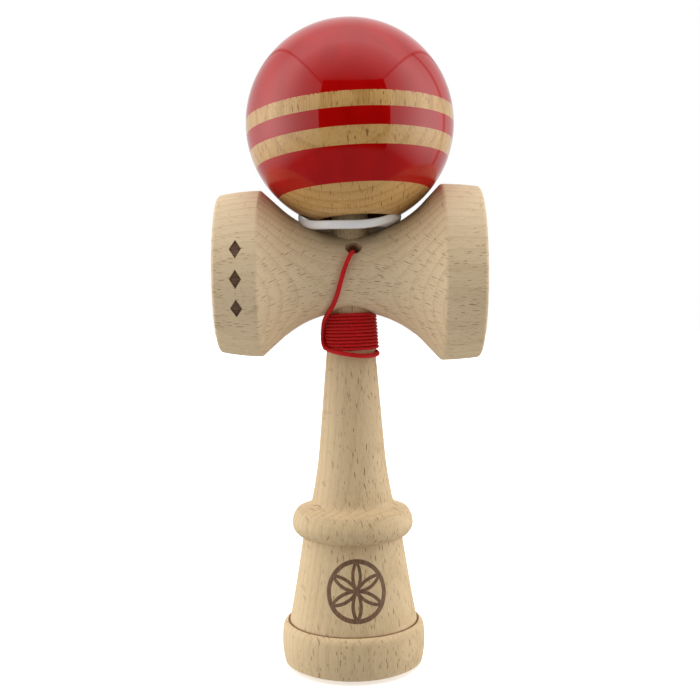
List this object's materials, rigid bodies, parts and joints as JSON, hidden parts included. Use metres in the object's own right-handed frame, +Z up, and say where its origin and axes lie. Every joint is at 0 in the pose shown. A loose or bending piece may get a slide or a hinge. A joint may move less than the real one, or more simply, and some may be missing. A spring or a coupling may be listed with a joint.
{
  "type": "kendama",
  "caption": "Wooden cup-and-ball skill toy: turned handle with base cup and spike, cross piece with two cups, and a bored ball tied to it by a thin wound string.",
  "frame": {"origin": "middle of the base cup's rim, on the surface the toy stands on", "axes": "+Z up along the handle towards the spike, +X towards the larger cup, -Y the front with the string hole"},
  "size_m": [0.0756, 0.063, 0.1912],
  "materials": {
    "beech": "raw turned beech, matte",
    "painted_ball": "red paint under clear gloss lacquer, with bare varnished stripes",
    "soft_ring": "white soft plastic, satin",
    "cord": "fine braided polyester",
    "bead": "smooth"
  },
  "bodies": {
    "handle": {"ken": "beech", "sarado": "beech", "spacer_ring": "soft_ring", "string_winding": "cord", "string_lead": "cord", "ken_knot": "cord"},
    "string_end": {"string_riser": "cord"},
    "string_stop": {"string_top": "cord", "string_bead": "bead", "bead_knot": "cord"},
    "ball": {"tama": "painted_ball"}
  },
  "joints": [
    {"name": "ball_lift", "type": "slide", "parent": "handle", "child": "string_end", "axis": [0, 0, 1], "range_m": [0, 0.045], "deforming": ["string_riser"]},
    {"name": "ball_rock", "type": "hinge", "parent": "string_end", "child": "string_stop", "pos_m": [0.00026, 0, 0.159], "axis": [-0.9007, -0.4345, 0], "range_deg": [-13.8, 0]},
    {"name": "ball_spin", "type": "hinge", "parent": "string_stop", "child": "ball", "pos_m": [0.00026, 0, 0.159], "axis": [-0.052, 0.1079, 0.9928], "continuous": true}
  ]
}
